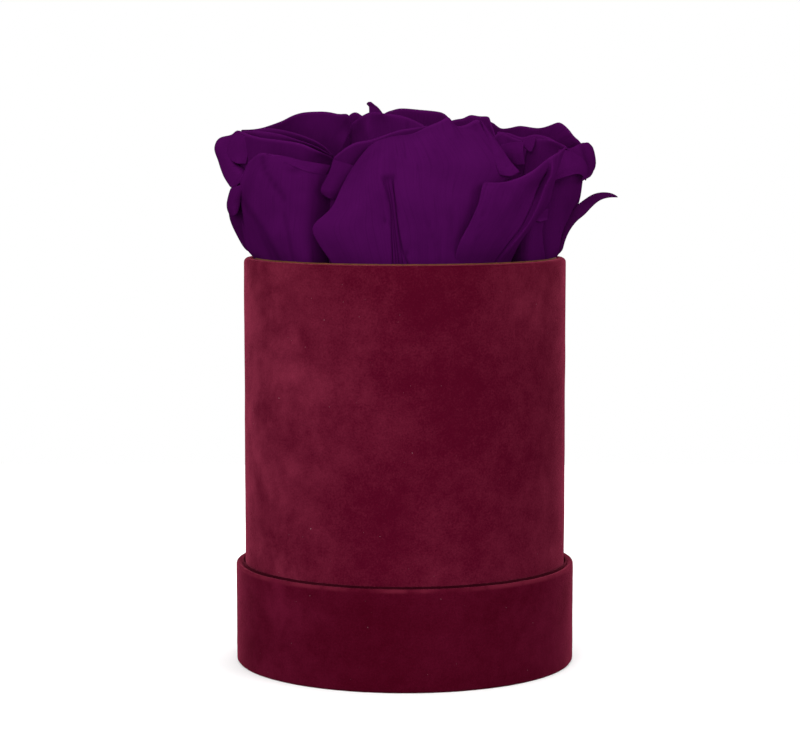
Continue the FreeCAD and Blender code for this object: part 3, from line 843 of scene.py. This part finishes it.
# Creases of the petal on the right, sunk in and darkened by painted shade.
RIGHT_CREASES = [
    ([(549, 173), (544, 179), (540, 187), (536, 196), (532, 207), (525, 222), (520, 231), (511, 241),
      (500, 256), (494, 264)], 1.1, 0.40),
    ([(548, 174), (544, 179), (540.5, 187), (537, 195)], 1.5, 0.9),
    ([(484, 203), (481, 225), (476, 240)], 1.6, 0.25),
]

# The left rose: one broad petal towards the front with a narrow lip, rolled lobes at its left, and the rims
# of the petals behind it, nested in each other; the farthest stands tall.

LEFT_MAIN = [
    [(250, 257, -6), (262, 259.5, -16.5), (280, 261.5, -27), (300, 263, -34), (309, 263, -35.5),
     (320, 263, -33.5), (332, 263, -29.5)],
    [(246, 235, -11), (265, 235, -29), (282, 236, -34.5), (301, 236, -38), (310, 236, -38.3),
     (320, 235, -36.8), (332, 235, -33.5)],
    [(243, 215, -16), (254, 215, -27), (282, 216, -36), (302, 216, -38.8), (310, 216, -38.8),
     (320, 215, -37.2), (332, 215, -34)],
    [(240, 196, -18), (258, 197, -30), (282, 197, -37), (302, 197, -39), (310, 197, -38.8), (320, 196, -37),
     (332, 196, -33.5)],
    [(241, 180, -19), (258, 178, -30), (281, 178, -36.5), (301, 178, -38.2), (310, 178, -38),
     (320, 178, -36), (332, 178, -32.5)],
    [(247, 166, -20), (262, 162, -28), (280, 164, -34), (300, 167, -36.5), (311, 170, -36), (326, 172, -32)],
    [(249, 161.6, -20), (260, 153, -25), (272, 154, -29.5), (288, 157, -32), (308, 161.8, -33),
     (331, 165.4, -30)],
]
# Left folds, darkened by painted shade: creases, a wide shade on the side turned away, a shadow under the
# lip.
LEFT_CREASES_AND_SHADE = [
    ([(262, 159), (265, 171), (271, 181), (279, 190), (284, 198)], 2.5, 0.45),
    ([(240, 197), (252, 215), (262, 229), (271, 246), (281, 264)], 3.0, 0.40),
    ([(284, 214), (288, 232), (294, 262)], 1.8, 0.30),
    ([(262, 236), (268, 248), (274, 262)], 2.0, 0.30),
    ([(324, 176), (321, 200), (323, 235)], 11.0, 0.38),
    ([(284, 166), (297, 171), (309, 174.8), (318, 177.3), (327, 179)], 2.0, 0.42),
]
LEFT_LIP = [
    [(266, 153.6, -27.8), (288, 157, -32.3), (300, 160.3, -33.4), (316, 163, -32.8), (331, 165.4, -30.3)],
    [(267, 154.6, -28.4), (288, 160.5, -34), (300, 164.6, -35.8), (313, 168, -35.6), (329, 170.5, -31.8)],
    [(268, 155.5, -28.9), (288, 164, -35.0), (300, 169, -37.2), (309, 172, -37.4), (326, 176, -33.2)],
]
LEFT_UNDER = [
    [(248.5, 256, 4), (249.5, 257, -2), (251, 257, -8)],
    [(239, 239, 8), (245, 240, -1), (249, 240, -9)],
    [(231.5, 224, 8), (239, 224, -3), (246, 224, -12)],
    [(229, 212, 5), (237, 210, -6), (245, 208, -14)],
    [(231, 200, 3), (238, 197, -8), (246, 194, -16)],
    [(236, 188, 1), (240, 184, -8), (247, 181, -16)],
]
LEFT_ROLL = [
    [(243.5, 184, -21), (241.5, 194, -19.4), (240.5, 204, -17.6), (238, 213, -16.8)],
    [(236.5, 186, -19), (234.8, 196, -18.4), (234, 206, -17.4), (234.5, 215.5, -16.8)],
    [(231.5, 188, -15.5), (228.6, 198, -13.5), (228, 207, -12.5), (231.5, 216, -13)],
    [(232.5, 187.5, -11), (228.3, 198, -9.5), (227, 207, -9), (230, 215, -9.5)],
    [(236, 190, -4), (230, 199, -1), (228.5, 208, 1), (231, 215, 2)],
    [(240, 194, 3), (235, 201, 6), (233.5, 209, 8), (235, 216, 8)],
]
LEFT_SECOND = [
    [(238, 200, -8), (262, 196, -18), (285, 195, -24), (305, 196, -26), (326, 198, -19)],
    [(238, 170, -9), (262, 168, -17), (284, 168, -22.5), (305, 172, -25), (330, 175, -19)],
    [(235, 152, -9), (259, 152, -15.5), (282, 155, -21), (305, 160, -24), (332, 167, -19.5)],
    [(236, 139, -9.5), (259, 143, -15.5), (280, 146, -20.5), (304, 151, -24), (333, 161, -20.5)],
    [(237, 129.5, -8.5), (258, 136.8, -15), (279, 139.6, -19.8), (302, 143.5, -23.3), (321, 152, -24),
     (334, 157.5, -21.5)],
]
LEFT_STRIP = [
    [(243, 142, 8), (234, 146, 12), (230, 153, 13), (232, 164, 11), (237, 177, 6), (241, 186, 0)],
    [(235, 138, 3), (225, 141, 6), (219.5, 150, 6), (222, 161, 4), (228, 176, 0), (235, 187, -5)],
    [(229, 136, -3), (219, 138.5, -2), (214.5, 148, -3), (218, 159, -5), (224, 176, -8), (231, 187.5, -12)],
    [(233, 134, -6), (226, 141, -7), (222, 150, -8), (227, 163, -11), (233, 177, -13.5), (235, 188, -14)],
    [(237, 130, -8), (235, 142, -9), (232, 153, -10), (233, 165, -12.5), (241, 172, -15.5),
     (243, 180, -16.5)],
    [(240, 131, -8.5), (243, 143, -8.5), (242, 154, -8), (240, 164, -9), (245, 170, -13), (246, 178, -15.5)],
]
LEFT_TONGUE = [
    [(236.5, 132.5, -9.6), (241, 134.5, -10.9), (247, 137, -11.8)],
    [(229.5, 142, -9.6), (238, 143, -11.8), (248, 146, -12.3)],
    [(227.5, 152, -9.8), (238, 154, -12.3), (248, 156, -12.8)],
    [(231, 160, -10.8), (237, 163.5, -12.8), (246, 164, -13)],
]
LEFT_THIRD = [
    [(246, 175, -5), (285, 175, -15), (326, 178, -13)],
    [(242, 150, -4), (283, 152, -12.5), (330, 165, -14.5)],
    [(241, 130.5, -4), (256, 130.5, -7.5), (278, 133.5, -13), (296, 139, -18), (317, 146.5, -20.3),
     (333, 156, -19.5)],
]
LEFT_FOURTH = [
    [(262, 175, -2), (295, 175, -9), (325, 178, -10)],
    [(255, 145, 0), (292, 150, -7), (328, 164, -11)],
    [(252, 130, 0), (264, 127.8, -2), (279, 129, -6.5), (300.5, 134.5, -12), (323, 145, -16),
     (334, 156.5, -17)],
]
LEFT_FAR = [
    [(262, 165, 6.5), (305, 165, 13), (338, 165, 11.5)],
    [(248, 140, 3.5), (300, 137, 11), (346, 140, 9.5)],
    [(240, 129.5, -1.5), (251, 129.3, 1), (262, 127.6, 3.5), (270, 125, 5), (284, 120, 7.2), (290, 116.5, 8),
     (301, 112.5, 9), (315, 111.3, 9.5), (328, 111.5, 9.2), (340, 114, 8.2), (348, 113.3, 7.8),
     (350.5, 120, 9.5), (351, 132, 12)],
]

# The back rose shows over the others: a petal with a curled tip, and the edges of two behind it,
# one to each side.

BACK_NEAR = [
    [(352, 175, 16), (385, 175, 9), (420, 175, 12)],
    [(350, 138, 16.5), (372, 142, 11.5), (400, 138, 7), (424, 134, 9)],
    [(349, 131, 17.5), (358, 130, 16), (367, 127, 11.5), (372, 127, 12), (400, 122, 6.5), (424, 128, 9)],
    [(352, 123, 19), (360, 117, 16), (367, 113, 13), (372, 111.5, 11), (385, 113.3, 8), (400, 115, 7),
     (412, 119, 8), (424, 125, 10)],
]
BACK_TIP = [
    [(369, 116, 12.2), (376, 116, 10.5), (384, 115, 8.2)],
    [(369, 107, 12.5), (373, 106.5, 11.5), (378, 107.5, 10)],
    [(366.3, 104, 12.5), (368, 102, 12), (371, 102, 12)],
]
BACK_FAR = [
    [(388, 165, 24), (420, 165, 30), (446, 165, 22)],
    [(376, 142, 20), (420, 138, 35), (458, 144, 19)],
    [(372, 136, 19), (378, 121, 22), (384, 113, 25), (392, 110, 29), (401, 108, 33), (420, 109.5, 36),
     (436, 111, 33), (444, 113, 29), (450, 119, 24), (455, 130, 20), (458, 142, 17)],
]
BACK_BUMP = [
    [(330, 165, 33), (352, 165, 28), (376, 165, 20)],
    [(322, 146, 35), (352, 140, 28), (382, 146, 17)],
    [(320, 138, 36), (326, 128, 34), (334, 121, 31), (345, 118, 29), (352, 112.5, 27), (357, 112, 26),
     (363, 116, 24), (371, 118, 22), (378, 128, 19), (384, 142, 16)],
]

# The right rose: rims and hollows at the top, a lip that folds out to the right with a rolled lobe, and the
# side of a petal below it.

RIGHT_HIND = [
    [(455, 165, 6), (470, 165, 10), (486, 165, 6)],
    [(442, 146, 3), (470, 142, 13), (496, 146, 3)],
    [(440, 138, 1), (445, 127, 6), (450, 121, 9), (456, 119, 11), (463, 118, 13), (470, 114.5, 14),
     (479, 116, 13), (489, 116.5, 10), (491, 122, 8), (494, 130, 5), (496, 140, 2)],
]
RIGHT_FAR = [
    [(500, 165, 16), (535, 165, 24), (570, 168, 16)],
    [(480, 142, 14), (535, 140, 25), (576, 150, 14)],
    [(478, 124, 16), (491, 121, 15), (500, 128, 17), (510, 127.6, 20), (520, 125.4, 23), (530, 127, 24),
     (540, 128, 24), (550, 125, 23), (560, 121.8, 20), (566, 126, 18), (570, 130, 16), (575, 137, 13),
     (580, 141, 10), (586, 150, 7)],
]
RIGHT_RIM = [
    [(500, 165, 4), (525, 165, 6), (555, 170, 4)],
    [(497, 131, 6), (510, 133, 9), (522, 137, 9), (535, 134, 8), (548, 137, 8), (562, 145, 5)],
]
RIGHT_SMALL = [
    [(497, 175, -4), (510, 175, -5), (524, 175, -6)],
    [(496, 150, -5), (509, 150, -6), (524, 152, -7)],
    [(494, 137, -7), (497, 133.5, -6), (501, 132, -5), (506, 134, -5), (512, 137, -6), (520, 140, -7),
     (524, 141.5, -8)],
]
RIGHT_SMALL_FLAP = [
    [(500, 145, -8.5), (510, 142.5, -9), (524, 142, -9.5)],
    [(504, 153, -9.5), (513, 153, -11.3), (523.5, 152, -12)],
    [(511, 162, -10.5), (517, 165, -11.8), (525, 164.5, -12.5)],
]
RIGHT_FOLD = [
    [(522, 140.5, -7.5), (528, 138, -6.5), (536, 137, -5.5)],
    [(524, 147, -8.5), (530.5, 152, -8.5), (534, 146, -7)],
]
RIGHT_FRONT = [
    [(524, 190, -8), (548, 190, -10), (568, 190, -9)],
    [(524, 165, -6), (548, 165, -8), (568, 165, -9)],
    [(526, 150, -5), (548, 150, -7), (568, 156, -10)],
    [(531, 138, -4), (547.5, 139, -8), (557.5, 142, -10), (567, 146.5, -11)],
]
RIGHT_LIP = [
    [(558, 149.3, -17), (568, 150.3, -16), (578, 155, -13), (583, 159, -11), (586.5, 165, -9.5),
     (587, 167, -4)],
    [(558, 164, -19.5), (570, 165, -18.5), (580, 167, -15.5), (586, 172, -12), (587, 173, -5)],
    [(550, 182, -19), (565, 177, -19.5), (577, 174, -17), (582, 175.5, -14.5), (585, 180, -11.5),
     (585.5, 180.5, -5)],
]
RIGHT_LOBE = [
    [(545, 243, -6), (552, 242, -2), (558, 241, 5), (556, 241, 13)],
    [(552, 215, -9), (566, 212, -4), (577, 205, 4), (574, 205, 14)],
    [(560, 170, -10), (575, 172, -4), (583, 172, 4), (580, 172, 15)],
    [(564, 147, -12), (573, 145, -7), (581, 141.5, -3), (588, 141, 3), (593, 148, 9), (588, 152, 19)],
    [(570, 152, -11), (580, 153, -6), (590, 152, 0), (595, 157, 6), (591, 159, 17)],
    [(578, 160, -7), (586, 166, -4), (592, 166, 1), (596, 166, 6), (592, 167, 15)],
    [(581, 182, -3), (586, 179.5, -1), (590, 177, 2), (594, 170, 6), (591, 172, 13)],
]
RIGHT_SIDE = [
    [(534, 262, -10), (548, 261, -10.5), (561, 258, -4)],
    [(534, 235, -13.5), (552, 235, -12), (562, 237, -4)],
    [(536, 215, -14.5), (557, 215, -13), (569, 218, -4)],
    [(540, 196, -15), (564, 196, -14), (579, 196, -4)],
    [(544, 180, -15.5), (566, 179, -16.3), (583, 179, -9.5)],
    [(544, 170, -15.5), (566, 170, -16.5), (583.5, 171, -11)],
]
# Painted shade in the hollow of the lobe, and a painted shadow under the lip on the side below it.
LOBE_CREASE = [([(583, 144), (584.5, 153), (588, 163), (586.5, 172)], 2.4, 0.5)]
SIDE_SHADOW = [([(550, 184), (558, 181), (568, 179.5), (580, 180)], 2.4, 0.5)]
RIGHT_LOW = [
    [(506, 263, -21), (528, 263, -24.5), (545, 261, -17.2)],
    [(508, 245, -23), (528, 245, -26), (543.3, 245, -20)],
    [(514, 230, -24), (532, 229, -25.5), (542, 228.5, -20.5)],
    [(524, 220, -24), (538, 213, -23.5), (548, 207, -18)],
    [(534, 221, -24.8), (541, 222, -24), (547, 221, -19)],
]

# Petals in sight may have folds, darkened by painted shade, a grid for them, or a painted shade over them.
# Petals out of sight have a heading, a rank from the heart outwards, half an angle, a top and a roll; two
# spirals of them go around each heart.

FLAP_SEED = 20
UNSEEN_SEED = 40
DRAWN = {
    "front": [(FRONT_BEHIND, {"shade": 0.50}),
              (FRONT_RIGHT, {"grid": CREASED_GRID, "folds": RIGHT_CREASES, "guided": True}),
              (FRONT_MAIN, {"grid": PLEATED_GRID, "folds": PLEATS, "guided": True})],
    "left": [(LEFT_MAIN, {"grid": CREASED_GRID, "folds": LEFT_CREASES_AND_SHADE}), (LEFT_UNDER, {"shade": 0.4}),
             (LEFT_SECOND, {"shade": 0.25}), (LEFT_THIRD, {}), (LEFT_FOURTH, {}),
             (LEFT_FAR, {"shade": 0.15})],
    "right": [(RIGHT_HIND, {"shade": 0.15}), (RIGHT_FAR, {}), (RIGHT_RIM, {}), (RIGHT_SMALL, {}),
              (RIGHT_FRONT, {}), (RIGHT_LOBE, {"folds": LOBE_CREASE}), (RIGHT_SIDE, {"folds": SIDE_SHADOW}),
              (RIGHT_LOW, {})],
    "back": [(BACK_NEAR, {}), (BACK_FAR, {}), (BACK_BUMP, {})],
}
FLAPS = {
    "front": [(FRONT_FLAP, 0), (FRONT_BEHIND_FLAP, 0.30)],
    "left": [(LEFT_LIP, 0), (LEFT_STRIP, 0), (LEFT_TONGUE, 0), (LEFT_ROLL, 0)],
    "right": [(RIGHT_SMALL_FLAP, 0), (RIGHT_FOLD, 0), (RIGHT_LIP, 0)],
    "back": [(BACK_TIP, 0)],
}
UNSEEN = {
    "front": [(70, 0.95, 55, 48, 60), (135, 0.98, 55, 46, 60), (5, 0.66, 38, 34, 40),
              (190, 0.62, 30, 36, 40)],
    "left": [(110, 0.95, 55, 46, 60), (150, 0.84, 36, 44, 60), (170, 0.76, 36, 43, 45),
             (330, 0.95, 60, 36, 30)],
    "right": [(8, 0.80, 38, 44, 40), (45, 0.88, 45, 45, 60), (85, 0.96, 50, 46, 60), (135, 0.92, 55, 44, 40)],
    "back": [(90, 0.98, 60, 54, 80), (150, 1.0, 50, 50, 100), (30, 1.0, 50, 50, 100),
             (310, 0.97, 45, 46, 30)],
}
SPIRALS = {
    "inner_petals": dict(count=7, first_rank=0.16, last_rank=0.40, start=20, half=60, roll=10),
    "middle_petals": dict(count=6, first_rank=0.44, last_rank=0.62, start=75, half=58, roll=40),
}
TOPS = {"front": (48, 45), "left": (42, 41), "right": (44, 42), "back": (52, 51)}

for rose in ROSES:
    for (group, shape), top in zip(SPIRALS.items(), TOPS[rose]):
        soft_piece(rose, group, group, spiral(rose, top, **shape))
    grown = [grown_petal(rose, UNSEEN_SEED + i, *shape) for i, shape in enumerate(UNSEEN[rose])]
    drawn = [drawn_petal(rose, lines, i, **options) for i, (lines, options) in enumerate(DRAWN[rose])]
    flaps = [drawn_petal(rose, lines, FLAP_SEED + i, FLAP_GRID, rooted=False, ruffle=0.15, shade=shade)
             for i, (lines, shade) in enumerate(FLAPS[rose])]
    soft_piece(rose, "outer_petals", "outer_petals", grown + drawn + flaps)


# Hearts. The innermost petals of each rose stay rolled into a tight bud: one sheet, wound around the axis
# from the tip of the cone, wider in its middle than at its ends.

HEART_GRID = (70, 20)
HEART_TURNS = 2.6
HEART_INNER = 0.5
HEART_WIDER = 3.0
HEART_BELOW = 8
HEART_SLANT = 4


def wound_sheet(rose):
    def point(turn, along):
        belly = 0.55 + 0.6 * sin(pi * (0.15 + 0.75 * along))
        r = (HEART_INNER + HEART_WIDER * turn) * belly
        z = CONE_HEIGHT - ROOT_DEPTH + along * (TOPS[rose][0] - HEART_BELOW - HEART_SLANT * turn)
        return around(rose, turn * HEART_TURNS * tau, r, z), (turn, along), 0.0
    return point, HEART_GRID


for rose in ROSES:
    soft_piece(rose, "heart_bud", "heart", [wound_sheet(rose)])


# Sepals. Five narrow leaves under each rose, dyed with it, which spread from the hip and hang a little.
# One of the right rose is long and curls out over the rim: drawn lines, led on down to its hip.

SEPAL_TONES = ((0.0235, 0.0012, 0.0250), (0.0330, 0.0020, 0.0345))
SEPALS = 5
SEPAL_GRID = (4, 6)
SEPAL_ROOT = HIP_RADIUS - 1.5
SEPAL_WIDTH = 5.0
SEPAL_LENGTH = 13.0
SEPAL_THICK = 0.5
SEPAL_BELOW = 1.5
SEPAL_HANG = 4.0
LONG_SEPAL_GRID = (6, 40)
LONG_SEPAL_HEADING = 335
LONG_SEPAL_SPLAY = 8
LONG_SEPAL_FOOT = ((SEPAL_ROOT, -2.5), (14.0, -2.0), (18.0, 4.0))
LONG_SEPAL = [
    [(555, 254, -4), (558.5, 239, -4.5), (565, 222, -4.5), (575, 207, -4), (585, 199, -3), (592, 194.5, -2),
     (600, 192.3, -1), (609, 192.6, -0.5), (614, 194.2, -0.2), (618, 197, 0)],
    [(558, 255, -5), (561.5, 241, -5.2), (567.5, 227, -5), (576, 214, -4.6), (584, 207, -3.8),
     (591.5, 201, -2.8), (600, 196.3, -1.6), (609, 195.2, -0.9), (614, 195.8, -0.4), (618, 197.2, 0)],
    [(561, 255, -5), (564.5, 243, -5), (569, 232, -5), (576.5, 221.5, -4.8), (584, 215.5, -4.2),
     (592, 207, -3.2), (600, 200.3, -2), (609, 197.6, -1.2), (614, 197.4, -0.5), (618, 197.4, 0)],
]


def short_sepal(rose, heading):
    """A leaf as long as the seams beside its rose leave room for."""
    room = min(seam_reaches(rose, heading), default=inf) - SEPAL_WIDTH / 2
    tip = min(HIP_RADIUS + SEPAL_LENGTH, room)
    aside = Vector((-sin(heading), cos(heading), 0))

    def point(across, along):
        side = 2 * across - 1
        half = SEPAL_WIDTH / 2 * (0.12 + 0.88 * sin(pi * (0.22 + 0.78 * along)))
        z = 0.5 * abs(side) * half / SEPAL_WIDTH - SEPAL_BELOW - SEPAL_HANG * along ** 2
        place = around(rose, heading, SEPAL_ROOT + (tip - SEPAL_ROOT) * along, z) + aside * (half * side)
        return place, (across, along), 0.0
    return point, SEPAL_GRID


def long_sepal(rose):
    """The leaf that climbs out between the petals and the rim."""
    lines = []
    for side, line in zip((-1, 0, 1), LONG_SEPAL):
        heading = radians(LONG_SEPAL_HEADING - LONG_SEPAL_SPLAY * side)
        foot = [around(rose, heading, r, z) for r, z in LONG_SEPAL_FOOT]
        lines.append(foot + [sight(*point) for point in line])

    def point(across, along):
        place = smooth_line([smooth_line(line, along) for line in lines], across)
        return clear_of_rim(place), (across, along), 0.0
    return point, LONG_SEPAL_GRID


sepal_skin = plant_skin("sepal_purple", SEPAL_TONES, 320)
for rose in ROSES:
    headings = [radians(sum(ROSES[rose]) / 2 + 360 / SEPALS * i) for i in range(SEPALS)]
    leaves = [short_sepal(rose, heading) for heading in headings]
    if rose == "right":
        leaves[0] = long_sepal(rose)
    soft_piece(rose, "sepal_leaves", "sepals", leaves, sepal_skin, SEPAL_THICK)
